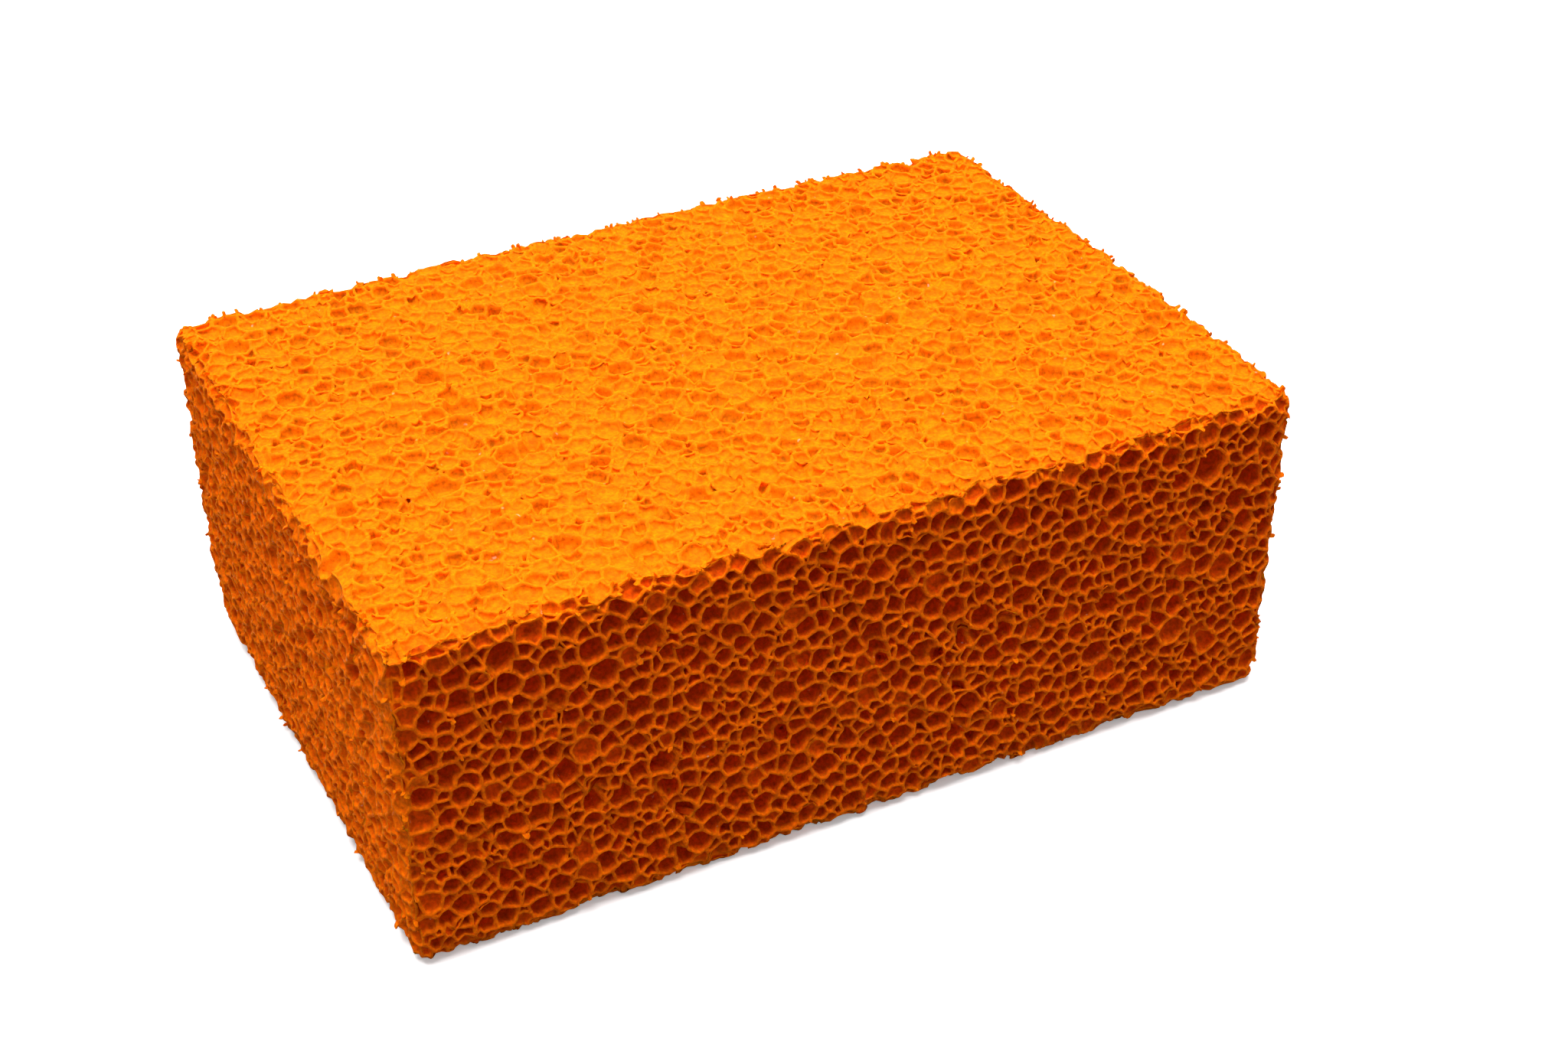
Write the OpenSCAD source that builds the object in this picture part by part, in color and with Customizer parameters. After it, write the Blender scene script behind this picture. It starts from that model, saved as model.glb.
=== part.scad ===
// Cleaning sponge: one block of open-cell foam, sawn flat on all six sides.
// It lies on its largest side, centred on the origin, with its underside at z = 0.
// Lengths are in millimetres.
//
// The foam is cut as real foam is. Centres of cells fill the block, each cell owns the
// space that is nearer to its centre than to any other, and the sides of the block slice
// through the cells of the outer layers. Every sliced cell becomes an open pit, and the
// walls between two cells stay standing as the thin crests between the pits.

/* [Block] */
// Length of the block, along X
block_length = 160; // [130:5:185]
// Width of the block, along Y
block_width = 110; // [80:5:135]
// Height of the block, along Z
block_height = 60; // [45:5:80]

/* [Foam cells] */
// Mean distance between the centres of neighbouring cells
cell_pitch = 6; // [5.6:0.1:10]
// How far a centre strays from its even place, as a share of the pitch
cell_scatter = 0.8; // [0.3:0.05:0.9]
// Depth of a cell that is cut by one side, as a share of the way to its centre
cell_depth = 0.85; // [0.3:0.05:0.95]
// Depth of a cell that is cut by an edge, as a share of the way to its centre
edge_depth = 0.45; // [0.2:0.05:0.8]
// Draw of the random scatter
scatter_draw = 7; // [1:1:99]

/* [Outline] */
// Rounding of the edges and corners
edge_radius = 2.5; // [0.5:0.25:5]
// Rounding of the rubbed-off corner at the lower left of the back
corner_radius = 14; // [6:1:20]
// Distance along the back over which that corner fades out
corner_run = 38; // [20:2:60]
// Swell of the right side, between its ends and its middle
swell_right = 1.3; // [0:0.1:3]
// Swell of the back, between its ends and its middle
swell_back = 0.8; // [0:0.1:3]

/* [Hidden] */

// Step to which every corner is brought, so that corners shared by cells agree
grid = 0.01;
// Slack in the test of whether a point lies on a side of the block
slack = 0.0001;
// Layers of cells, counted from a side, that can reach it
reach_in = 2;
// Cells to each side whose centres can matter to a cell
reach_out = 3;
// Steps of the draw from one column of cells to the next, along X and along Y
draw_steps = [97, 8191];

block = [block_length, block_width, block_height];
low = [-block_length / 2, -block_width / 2, 0];
high = low + block;

// Each side is [axis, end], where end is 0 for the low side and 1 for the high one.
SIDES = [for (axis = [0 : 2]) for (end = [0, 1]) [axis, end]];

// Small helpers on points

function mean(points) = [for (p = points) 1] * points / len(points);

function mix(a, b, share) = a + (b - a) * share;

function snap(p) = [for (v = p) round(v / grid) * grid];

function clamp(v, lo, hi) = min(max(v, lo), hi);

function smooth(t) = let (c = clamp(t, 0, 1)) c * c * (3 - 2 * c);

// Cell centres

// How many cells fit along each axis
function cell_counts() = [for (v = block) max(2 * reach_in, round(v / cell_pitch))];

// One random triple for each cell of the column at i, j
function strays(i, j, count) =
    let (r = rands(-0.5, 0.5, 3 * count, scatter_draw + draw_steps * [i, j]))
    [for (k = [0 : count - 1]) [r[3 * k], r[3 * k + 1], r[3 * k + 2]]];

function centre_grid(n) =
    [for (i = [0 : n.x - 1]) [for (j = [0 : n.y - 1])
        let (stray = strays(i, j, n.z))
        [for (k = [0 : n.z - 1])
            let (even = [i + 0.5, j + 0.5, k + 0.5] + stray[k] * cell_scatter)
            [for (a = [0 : 2]) low[a] + even[a] * block[a] / n[a]]]]];

function centre_at(centres, c) = centres[c.x][c.y][c.z];

// Layers between a cell and a side: 0 is the outermost
function layer(c, n, side) = side[1] == 0 ? c[side[0]] : n[side[0]] - 1 - c[side[0]];

// Slicing a cell with one side of the block

// The whole side as a rectangle, its corners clockwise when seen from outside
function side_outline(side) =
    let (
        axis = side[0],
        u = (axis + 1) % 3,
        v = (axis + 2) % 3,
        loop = [for (q = [[0, 0], [1, 0], [1, 1], [0, 1]])
            [for (a = [0 : 2])
                let (end = a == axis ? side[1] : a == u ? q[0] : q[1])
                end == 0 ? low[a] : high[a]]]
    )
    side[1] == 0 ? loop : [for (i = [3 : -1 : 0]) loop[i]];

// What is left of an outline on the near side of a plane, normal * p = offset
function trim(outline, normal, offset) =
    let (h = [for (p = outline) p * normal - offset])
    max(h) <= 0 ? outline :
    min(h) >= 0 ? [] :
    [for (i = [0 : len(outline) - 1])
        let (
            j = (i + 1) % len(outline),
            crosses = (h[i] < 0 && h[j] > 0) || (h[i] > 0 && h[j] < 0)
        )
        each concat(
            h[i] <= 0 ? [outline[i]] : [],
            crosses ? [mix(outline[i], outline[j], h[i] / (h[i] - h[j]))] : [])];

// An outline trimmed by the plane halfway to each rival centre
function trim_by(outline, centre, rivals, i = 0) =
    i == len(rivals) || len(outline) == 0 ? outline :
    trim_by(
        trim(outline, rivals[i] - centre, (rivals[i] * rivals[i] - centre * centre) / 2),
        centre, rivals, i + 1);

// Centres between inner + 1 and outer steps along the side, in the layers that reach it
function rivals(centres, n, c, side, inner, outer) =
    let (
        axis = side[0],
        u = (axis + 1) % 3,
        v = (axis + 2) % 3
    )
    [for (du = [-outer : outer]) for (dv = [-outer : outer]) for (deep = [0 : reach_in - 1])
        if (max(abs(du), abs(dv)) > inner)
            let (
                at = [for (a = [0 : 2])
                    a == axis ? (side[1] == 0 ? deep : n[a] - 1 - deep) :
                    a == u ? c[a] + du : c[a] + dv]
            )
            if (at != c && at[u] >= 0 && at[u] < n[u] && at[v] >= 0 && at[v] < n[v])
                centre_at(centres, at)];

// The piece of a side that a cell owns
function slice(centres, n, c, side) =
    let (
        centre = centre_at(centres, c),
        near = trim_by(side_outline(side), centre, rivals(centres, n, c, side, -1, 1))
    )
    len(near) == 0 ? [] :
    let (
        span = 2 * max([for (p = near) norm(p - centre)]),
        far = [for (q = rivals(centres, n, c, side, 1, reach_out))
            if (norm(q - centre) < span) q]
    )
    trim_by(near, centre, far);

// Pits

// A point lies on a side
function on_side(p, side) =
    abs(p[side[0]] - (side[1] == 0 ? low : high)[side[0]]) < slack;

// An outline's stretch from a to b lies on an edge of the block
function on_edge(a, b) = len([for (s = SIDES) if (on_side(a, s) && on_side(b, s)) s]) > 1;

function stretches(outline) =
    [for (i = [0 : 1 : len(outline) - 1]) [outline[i], outline[(i + 1) % len(outline)]]];

// Walls of a pit: a triangle from its floor to each stretch of its rim
function walls(rim, floor) =
    let (bottom = snap(finish(floor)))
    [for (s = rim)
        let (
            a = snap(finish(s[0])),
            b = snap(finish(s[1]))
        )
        if (a != b) [bottom, a, b]];

// The pit of a cell that one side cuts. The cell that the seat lies on keeps its skin.
function side_pit(outline, centre, seated) =
    walls(stretches(outline), mix(mean(outline), centre, seated ? 0 : cell_depth));

// The pit of a cell that an edge or a corner cuts: open to each side that it meets
function edge_pit(outlines, centre) =
    let (
        all = [for (o = outlines) each stretches(o)],
        cut = [for (s = all) if (on_edge(s[0], s[1])) mean(s)],
        rim = [for (s = all) if (!on_edge(s[0], s[1])) s]
    )
    walls(rim, mix(mean(cut), centre, edge_depth));

function reaches_edge(outline) =
    len([for (s = stretches(outline)) if (on_edge(s[0], s[1])) s]) > 0;

function cell_pits(centres, n, c, seat) =
    let (
        centre = centre_at(centres, c),
        sides = [for (s = SIDES) if (layer(c, n, s) < reach_in) s],
        slices = [for (s = sides) let (o = slice(centres, n, c, s)) if (len(o) > 2) [s, o]],
        edge = [for (o = slices) if (reaches_edge(o[1])) o[1]]
    )
    concat(
        len(edge) == 0 ? [] : edge_pit(edge, centre),
        [for (o = slices)
            if (!reaches_edge(o[1]))
                each side_pit(o[1], centre, centre == seat && o[0] == [2, 0])]);

// Outline of the block

// Brings a square corner, at reach r from its inner point, onto a round one
function round_off(d) = norm(d) == 0 ? d : d * max([for (v = d) abs(v)]) / norm(d);

// Swell: the right side and the back are fullest halfway along
function swell(p) =
    let (
        from_left = (p.x - low.x) / block.x,
        from_front = (p.y - low.y) / block.y,
        off_x = 2 * p.x / block.x,
        off_y = 2 * p.y / block.y
    )
    p - [swell_right * from_left * off_y * off_y, swell_back * from_front * off_x * off_x, 0];

// Edges and corners: every point within a radius of the outside is pulled in
function round_edges(p) =
    let (core = [for (a = [0 : 2]) clamp(p[a], low[a] + edge_radius, high[a] - edge_radius)])
    core + round_off(p - core);

// The rubbed-off corner: a larger radius under the back, widest at the left end
function rub_corner(p) =
    let (
        fade = smooth(1 - (p.x - low.x) / corner_run),
        r = max(slack, corner_radius * fade),
        core = [p.x, min(p.y, high.y - r), max(p.z, low.z + r)]
    )
    core + round_off(p - core);

function finish(p) = swell(rub_corner(round_edges(p)));

// The block

module foam_block() {
    n = cell_counts();
    centres = centre_grid(n);
    shell = [for (i = [0 : n.x - 1]) for (j = [0 : n.y - 1]) for (k = [0 : n.z - 1])
        let (c = [i, j, k])
        if (min([for (s = SIDES) layer(c, n, s)]) < reach_in) c];
    gaps = [for (c = shell) norm(centre_at(centres, c))];
    seat = centre_at(centres, shell[search(min(gaps), gaps)[0]]);
    faces = [for (c = shell) each cell_pits(centres, n, c, seat)];

    color("darkorange")
        polyhedron(
            points = [for (f = faces) each f],
            faces = [for (i = [0 : len(faces) - 1]) [3 * i, 3 * i + 1, 3 * i + 2]],
            convexity = 8);
}

foam_block();
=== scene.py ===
"""Looks of the cleaning sponge: a block of coarse orange open-cell foam.

The foam skin is worked out the way foam grows. Bubbles of many sizes are packed around
the block's sides, each owns the space where it weighs most, and the sawn sides cut that
space into a net of cells. A Geometry Nodes tree then sinks one pit into each cell.
"""

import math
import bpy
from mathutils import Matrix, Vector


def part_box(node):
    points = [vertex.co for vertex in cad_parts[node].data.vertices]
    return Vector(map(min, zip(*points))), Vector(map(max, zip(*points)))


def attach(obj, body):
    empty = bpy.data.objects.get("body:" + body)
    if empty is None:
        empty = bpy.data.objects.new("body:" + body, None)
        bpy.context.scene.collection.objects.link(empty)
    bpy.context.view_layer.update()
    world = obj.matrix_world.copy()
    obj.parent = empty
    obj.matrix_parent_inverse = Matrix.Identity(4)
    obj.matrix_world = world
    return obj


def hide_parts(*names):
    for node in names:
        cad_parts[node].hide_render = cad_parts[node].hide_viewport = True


bl_info = {
    "name": "Cleaning Sponge",
    "version": (1, 0, 0),
    "blender": (4, 5, 0),
    "location": "3D View > Sidebar > Sponge",
    "description": "Builds a sawn block of open-cell foam and a plain stage for it",
    "category": "Object",
}

import bpy
import numpy as np
from bpy.props import FloatProperty, FloatVectorProperty, IntProperty, PointerProperty
from mathutils import Vector, kdtree

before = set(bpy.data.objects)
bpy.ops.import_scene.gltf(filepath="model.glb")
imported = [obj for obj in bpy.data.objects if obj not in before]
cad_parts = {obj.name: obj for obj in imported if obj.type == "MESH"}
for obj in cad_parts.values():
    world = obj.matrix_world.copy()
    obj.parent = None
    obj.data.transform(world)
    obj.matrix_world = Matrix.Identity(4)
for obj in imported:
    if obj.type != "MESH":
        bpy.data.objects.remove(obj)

NODE = "foam_block"
BODY = "root"

# Millimetres in a metre: the foam is worked out in millimetres and built in metres
MM = 1000.0
# Least divisor, where a length could be nothing
TINY = 1e-9

# Sides of the block: name, axis and end, where end is 0 for low and 1 for high
SIDES = (
    ("left", 0, 0),
    ("right", 0, 1),
    ("front", 1, 0),
    ("back", 1, 1),
    ("underside", 2, 0),
    ("top", 2, 1),
)


# Settings

def Length(name, description, default, least, most):
    """A setting in metres."""
    return FloatProperty(name=name, description=description, default=default,
                         min=least, max=most, unit="LENGTH")


def Share(name, description, default, least, most):
    """A setting that is a share of something else."""
    return FloatProperty(name=name, description=description, default=default,
                         min=least, max=most, subtype="FACTOR")


def Color(name, description, default):
    """A setting that is a colour."""
    return FloatVectorProperty(name=name, description=description, default=default,
                               size=3, min=0.0, max=1.0, subtype="COLOR")


class SpongeFoam(bpy.types.PropertyGroup):
    """Sizes of the foam, and the painted shade of its pits and crests."""

    bubble_size: Length(
        "Bubble Size", "Median diameter of the bubbles in the foam", 0.00298, 0.002, 0.01)
    bubble_spread: Share(
        "Bubble Spread", "How much the bubbles differ in size", 0.24, 0.0, 0.6)
    bubble_overlap: Share(
        "Bubble Overlap", "Share by which neighbouring bubbles may overlap", 0.24, 0.0, 0.5)
    wall_width: Length(
        "Wall Width", "Width of the crest between two pits", 0.00054, 0.0001, 0.001)
    crest_wander: Share(
        "Crest Wander", "Sideways bend of a crest, as a share of its length", 0.09, 0.0, 0.25)
    crest_sag: Share(
        "Crest Sag", "Dip of a crest between its ends, as a share of its length", 0.14, 0.0, 0.4)
    open_edge_share: Share(
        "Open Edge Share", "Share of the cells on an edge that open both ways", 0.3, 0.0, 1.0)
    edge_stray: Length(
        "Edge Stray", "How far the crests along an edge stray from it", 0.0009, 0.0, 0.002)
    slack_share: Share(
        "Slack Share", "Share of the crests that hang low between two pits", 0.14, 0.0, 0.6)
    slack_sag: Share(
        "Slack Sag", "Dip of a crest that hangs low, as a share of its length", 0.6, 0.0, 1.5)
    fray: Length(
        "Fray", "How far the joints of the crests stand out or lie back", 0.0003, 0.0, 0.002)
    edge_fray: Length(
        "Edge Fray", "The same along the edges of the block", 0.00048, 0.0, 0.003)
    wall_roughness: Length(
        "Wall Unevenness", "How far the walls of the pits stray from smooth", 0.00026, 0.0, 0.001)
    pit_depth: FloatVectorProperty(
        name="Pit Depth", size=3, min=0.3, max=2.0,
        description="Depth of the pits of the ends, walls and flat sides, in bubbles",
        default=(0.68, 1.4, 0.62))
    edge_pit_depth: Share(
        "Edge Pit Depth", "Depth of the pits on an edge, as a share of a radius", 0.55, 0.1, 2.0)
    film_share: FloatVectorProperty(
        name="Film Share", size=3, min=0.0, max=1.0,
        description="Share of the pits of the ends, walls and flat sides that a film closes",
        default=(0.58, 0.1, 0.66))
    film_level: Share(
        "Film Level", "Depth of a pit closed by a film, as a share of its own", 0.36, 0.1, 1.0)
    torn_share: FloatVectorProperty(
        name="Torn Share", size=3, min=0.0, max=1.0,
        description="Share of the pits of the ends, walls and flat sides with a torn floor",
        default=(0.12, 0.26, 0.02))
    # Painted shade of the pits: it darkens and reddens the pits of the ends and walls, where little
    # light falls, and dims those of the flat sides below zero
    painted_shade: FloatVectorProperty(
        name="Gloom", size=3, min=-0.25, max=1.0,
        description="How red the pits of the ends, walls and flat sides are, or how dull "
                    "where it is below zero",
        default=(0.22, 0.9, -0.25))
    # Shares of the pits' painted shade that the shallow pits on an edge and the pits closed by a
    # film keep
    edge_painted_shade: Share(
        "Edge Gloom", "Share of it that the pits on an edge keep", 0.35, 0.0, 1.0)
    film_painted_shade: Share(
        "Film Gloom", "Share of it that a pit closed by a film keeps", 0.4, 0.0, 1.0)
    # Painted shade of the crests: they redden where they face away from the top light
    rim_painted_shade: Share(
        "Rim Gloom", "How red the crests are where they don't face up", 0.07, 0.0, 1.0)
    shred_share: Share(
        "Shred Share", "Share of the crest joints that carry a torn shred", 0.02, 0.0, 0.5)
    shred_edge_share: Share(
        "Edge Shred Share", "The same share along the edges of the block", 0.2, 0.0, 0.5)
    shred_smallest: FloatProperty(
        name="Smallest Shred", description="Length of the smallest shred, in millimetres",
        default=0.5, min=0.1, max=3.0)
    shred_largest: FloatProperty(
        name="Largest Shred", description="Length of the largest shred, in millimetres",
        default=1.1, min=0.1, max=3.0)
    edge_radius: Length(
        "Edge Radius", "Rounding of the edges and corners", 0.0034, 0.0005, 0.005)
    corner_radius: Length(
        "Corner Radius", "Rounding of the rubbed-off corner", 0.014, 0.006, 0.02)
    corner_run: Length(
        "Corner Run", "Distance over which the rubbed-off corner fades out", 0.038, 0.02, 0.06)
    swell_right: Length(
        "Swell Right", "Swell of the right side at its middle", 0.0013, 0.0, 0.003)
    swell_back: Length("Swell Back", "Swell of the back at its middle", 0.0008, 0.0, 0.003)
    draw: IntProperty(
        name="Draw", description="Draw of the random scatter", default=7, min=0)


class SpongeLook(bpy.types.PropertyGroup):
    """Colours and finish of the foam, with the painted shade of its pits and crests and its painted
    glints.
    """

    crest: Color("Crest", "Colour of the crests between the pits", (0.98, 0.175, 0.0))
    # Painted shade: the wall and floor colours stand in for the shade down the pits of the ends and
    # walls, and the dull colour for the dimmer pits of the flat sides
    wall: Color("Wall", "Colour of the walls of the pits", (0.71, 0.078, 0.0))
    floor: Color("Floor", "Colour of the floors of the pits", (0.76, 0.055, 0.0))
    dull: Color(
        "Dull", "Colour of the pits of the flat sides, which are open to light", (0.66, 0.172, 0.0))
    glint: Color(
        "Glint", "Colour of the pale specks where film catches the light", (1.0, 0.62, 0.4))
    glow_depth: Length("Glow Depth", "How far light soaks into the foam", 0.0007, 0.0, 0.01)


class SpongeStage(bpy.types.PropertyGroup):
    """Camera, floor and lights."""

    camera_at: FloatVectorProperty(
        name="Camera", description="Place of the camera", size=3, subtype="TRANSLATION",
        default=(-0.15201, -0.31465, 0.25852))
    camera_along: FloatVectorProperty(
        name="Looking Along", description="Direction in which the camera looks", size=3,
        subtype="DIRECTION", default=(0.3840, 0.7382, -0.5546))
    lens: FloatProperty(
        name="Lens", description="Focal length on a sensor 36 mm wide",
        default=54.46, min=10.0, max=200.0, unit="CAMERA")
    floor_color: Color("Floor", "Colour of the floor", (0.18, 0.18, 0.18))
    floor_lift: FloatProperty(
        name="Floor Lift", description="Glow of the floor where the camera sees it",
        default=0.25, min=0.0, max=1.0)
    key_power: FloatProperty(
        name="Top Light", description="Power of the large light above",
        default=22.8, min=0.0, unit="POWER")
    fill: FloatProperty(
        name="Fill", description="Strength of the even light from all round",
        default=0.52, min=0.0)


# Bubbles

# How far the packed shell reaches out of the block and into it, in bubble sizes
SHELL_OUT = 0.85
SHELL_IN = 1.7
# Radii of the smallest and the largest bubble, in bubble sizes
LEAST_RADIUS = 0.3
MOST_RADIUS = 1.1
# Room that a bubble takes up, in cubed bubble sizes, and the surplus of bubbles tried
BUBBLE_ROOM = 0.62
SURPLUS = 1.15
# Places tried for a bubble, and places drawn for each of these
TRIES = 14
DRAWS = 3
# How far below the heaviest bubble others count, and half the widest cell, in median radii
SITE_REACH = 3.2
CELL_REACH = 6.0
# Distance of the farthest rival of a cell, in half-widths of the widest cell
RIVAL_REACH = 2.2
# Room for rounding errors when a rival is ruled out
SLACK = 1e-3


def around(steps):
    """Steps to a place on the shelf and to its neighbours up to so many away."""
    span = range(-steps, steps + 1)
    return [(i, j, k) for i in span for j in span for k in span]


def pack_bubbles(low, high, foam, rng):
    """Centres and radii of bubbles around the sides of the block, the largest first."""
    size = foam.bubble_size * MM
    outer_low, outer_high = low - SHELL_OUT * size, high + SHELL_OUT * size
    inner_low, inner_high = low + SHELL_IN * size, high - SHELL_IN * size
    volume = np.prod(outer_high - outer_low) - np.prod(inner_high - inner_low)
    wanted = int(SURPLUS * volume / (BUBBLE_ROOM * size ** 3))
    radii = 0.5 * size * np.exp(foam.bubble_spread * rng.standard_normal(wanted))
    radii = np.sort(np.clip(radii, LEAST_RADIUS * size, MOST_RADIUS * size))[::-1]
    cell = MOST_RADIUS * size
    shelf = {}
    centres, kept = [], []
    near, wide = around(1), around(2)
    hold = 1.0 - foam.bubble_overlap
    for r in radii:
        spots = rng.uniform(outer_low, outer_high, (TRIES * DRAWS, 3))
        hollow = np.all((spots > inner_low) & (spots < inner_high), axis=1)
        reach = near if r + 0.5 * cell < cell else wide
        for x, y, z in spots[~hollow][:TRIES].tolist():
            key = (int(x // cell), int(y // cell), int(z // cell))
            free = True
            for i, j, k in reach:
                for cx, cy, cz, cr in shelf.get((key[0] + i, key[1] + j, key[2] + k), ()):
                    gap = hold * (r + cr)
                    if (x - cx) ** 2 + (y - cy) ** 2 + (z - cz) ** 2 < gap * gap:
                        free = False
                        break
                if not free:
                    break
            if free:
                shelf.setdefault(key, []).append((x, y, z, float(r)))
                centres.append((x, y, z))
                kept.append(float(r))
                break
    return np.array(centres), np.array(kept)


def trim(outline, nx, ny, offset):
    """What is left of a flat outline on the near side of a line."""
    heights = [x * nx + y * ny - offset for x, y in outline]
    if max(heights) <= 0.0:
        return outline
    if min(heights) >= 0.0:
        return []
    left = []
    for i, (x, y) in enumerate(outline):
        h = heights[i - 1]
        g = heights[i]
        if (h < 0.0 < g) or (g < 0.0 < h):
            px, py = outline[i - 1]
            t = h / (h - g)
            left.append((px + (x - px) * t, py + (y - py) * t))
        if g <= 0.0:
            left.append((x, y))
    return left


def slice_side(axis, end, low, high, centres, radii):
    """The piece of a side that each bubble owns: bubble number and corners, in turn."""
    u, v = (axis + 1) % 3, (axis + 2) % 3
    depth = centres[:, axis] - low[axis] if end == 0 else high[axis] - centres[:, axis]
    weight = radii ** 2 - depth ** 2
    limit = weight.max() - (SITE_REACH * np.median(radii)) ** 2
    sites = np.nonzero(weight > limit)[0]
    heaviest = float(weight.max())
    tree = kdtree.KDTree(len(sites))
    for n, s in enumerate(sites):
        tree.insert((centres[s, u], centres[s, v], 0.0), n)
    tree.balance()
    places = [(float(centres[s, u]), float(centres[s, v]), float(weight[s])) for s in sites]
    far = CELL_REACH * float(np.median(radii))
    level = low[axis] if end == 0 else high[axis]
    cells = []
    for n, (x, y, w) in enumerate(places):
        left, right = max(low[u] - x, -far), min(high[u] - x, far)
        near, back = max(low[v] - y, -far), min(high[v] - y, far)
        if left >= right or near >= back:
            continue
        outline = [(left, near), (right, near), (right, back), (left, back)]
        span = max(math.hypot(*p) for p in outline)
        for _, m, d in tree.find_range((x, y, 0.0), RIVAL_REACH * far):
            if m == n:
                continue
            if d * d + w - heaviest > 2.0 * d * span + SLACK:
                break
            qx, qy, qw = places[m]
            qx, qy = qx - x, qy - y
            offset = 0.5 * (qx * qx + qy * qy + w - qw)
            if offset > d * span + SLACK:
                continue
            shorter = trim(outline, qx, qy, offset)
            if shorter is not outline:
                outline = shorter
                if not outline:
                    break
                span = max(math.hypot(*p) for p in outline)
        if len(outline) < 3:
            continue
        corners = []
        for px, py in outline if end == 1 else outline[::-1]:
            at = [0.0, 0.0, 0.0]
            at[axis], at[u], at[v] = level, px + x, py + y
            corners.append(at)
        cells.append((int(sites[n]), corners))
    return cells


# The net of crests

# A point this near to a side lies on it, and corners this near are one, in millimetres
TOUCH = 1e-6
CORNER_STEP = 1e-5
# Shortest stretch of crest that is kept, in bubble sizes
SHORTEST_CREST = 0.09
# Largest draw for the stray of a point on an edge
MOST_STRAY = 1.8
# Lengths in millimetres from which a crest bends at one point and at two
BEND_LENGTHS = (1.2, 3.0)
# Largest draw for the sideways bend, and draws for the dip of a tight and a slack crest
MOST_BOW = 1.6
TIGHT_DIPS = (0.3, 1.3)
SLACK_DIPS = (0.5, 1.1)
# Least radius of the rubbed-off corner, in millimetres
LEAST_CORNER = 1e-4
# Width of the frayed edge, in edge radii
FRAY_REACH = 0.6
# How much of the fraying whole cells share and how much each point has of its own
FRAY_BY_CELL = 0.8
FRAY_BY_POINT = 0.4
# Largest draws for the fraying, inwards and outwards
FRAY_LIMITS = (-1.4, 0.4)


def chain_loops(arrows):
    """Closed loops from arrows, once each pair that runs both ways has been dropped."""
    arrows = set(arrows)
    follow = {}
    for a, b in arrows:
        if (b, a) not in arrows:
            follow.setdefault(a, []).append(b)
    loops = []
    while follow:
        start = next(iter(follow))
        loop, at = [], start
        while at in follow:
            loop.append(at)
            ahead = follow[at]
            step = ahead.pop()
            if not ahead:
                del follow[at]
            at = step
            if at == start:
                break
        loops.append(loop)
    return loops


def split_pinched(loop):
    """A loop that passes a point twice, as loops that don't."""
    seen = {}
    for i, p in enumerate(loop):
        if p in seen:
            j = seen[p]
            return split_pinched(loop[j:i]) + split_pinched(loop[:j] + loop[i:])
        seen[p] = i
    return [loop] if len(loop) > 2 else []


def merge_short(points, loops, shortest):
    """Joins the ends of every stretch of crest that is shorter than a given length."""
    parent = list(range(len(points)))

    def root(i):
        while parent[i] != i:
            parent[i] = parent[parent[i]]
            i = parent[i]
        return i

    for _, loop in loops:
        for i, a in enumerate(loop):
            b = loop[i - 1]
            if a < b and np.linalg.norm(points[a] - points[b]) < shortest:
                parent[root(a)] = root(b)
    roots = np.array([root(i) for i in range(len(points))])
    count = np.bincount(roots, minlength=len(points))
    merged = np.zeros_like(points)
    np.add.at(merged, roots, points)
    merged[count > 0] /= count[count > 0, None]
    joined = []
    for site, loop in loops:
        ids = [int(roots[i]) for i in loop]
        ids = [p for i, p in enumerate(ids) if p != ids[i - 1]]
        for part in split_pinched(ids):
            joined.append((site, part))
    return merged, joined


def loop_normal(corners):
    """Mean outward normal of a loop that need not be flat."""
    ahead = np.roll(corners, -1, axis=0)
    normal = np.cross(corners, ahead).sum(axis=0)
    return normal / max(np.linalg.norm(normal), TINY)


def stray_edges(points, low, high, foam, rng):
    """Slides the points on the block's edges onto one of the two sides, by chance."""
    gaps = np.minimum(points - low, high - points)
    strayed = points.copy()
    for i in np.nonzero(np.sum(gaps < TOUCH, axis=1) == 2)[0]:
        axis = int(rng.choice(np.nonzero(gaps[i] < TOUCH)[0]))
        inward = 1.0 if points[i, axis] - low[axis] < TOUCH else -1.0
        stray = min(abs(rng.standard_normal()), MOST_STRAY)
        strayed[i, axis] += inward * foam.edge_stray * MM * stray
    return strayed


def bend_crests(points, loops, low, high, foam, rng):
    """Adds points along the longer crests, moved to the side and sunk, so that they bend."""
    middle, normals, fresh = {}, {}, []
    for _, loop in loops:
        normal = loop_normal(points[loop])
        for i, a in enumerate(loop):
            b = loop[i - 1]
            normals.setdefault((min(a, b), max(a, b)), []).append(normal)
    start = len(points)
    worn = sides_near(points, low, high, foam.edge_radius * MM) > 1
    for (a, b), pair in normals.items():
        pa, pb = points[a], points[b]
        length = float(np.linalg.norm(pb - pa))
        pieces = 1 + sum(length >= limit for limit in BEND_LENGTHS)
        normal = sum(pair)
        normal = normal / max(np.linalg.norm(normal), TINY)
        side = np.cross(pb - pa, normal) / max(length, TINY)
        bow = float(np.clip(rng.standard_normal(), -MOST_BOW, MOST_BOW))
        bow = foam.crest_wander * length * bow
        dip = foam.crest_sag * length * float(rng.uniform(*TIGHT_DIPS))
        if rng.uniform() < foam.slack_share and not worn[a] and not worn[b]:
            dip = foam.slack_sag * length * float(rng.uniform(*SLACK_DIPS))
            pieces = max(pieces, 2)
        ids = []
        for k in range(1, pieces):
            t = k / pieces
            arch = 4.0 * t * (1.0 - t)
            ids.append(start + len(fresh))
            fresh.append(pa + (pb - pa) * t + side * bow * arch - normal * dip * arch)
        middle[(a, b)] = ids
    points = np.vstack([points, np.array(fresh)])
    bent = []
    for site, loop in loops:
        full = []
        for i, b in enumerate(loop):
            a = loop[i - 1]
            between = middle[(min(a, b), max(a, b))]
            full.extend(between if a < b else between[::-1])
            full.append(b)
        bent.append((site, full))
    return points, bent


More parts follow.
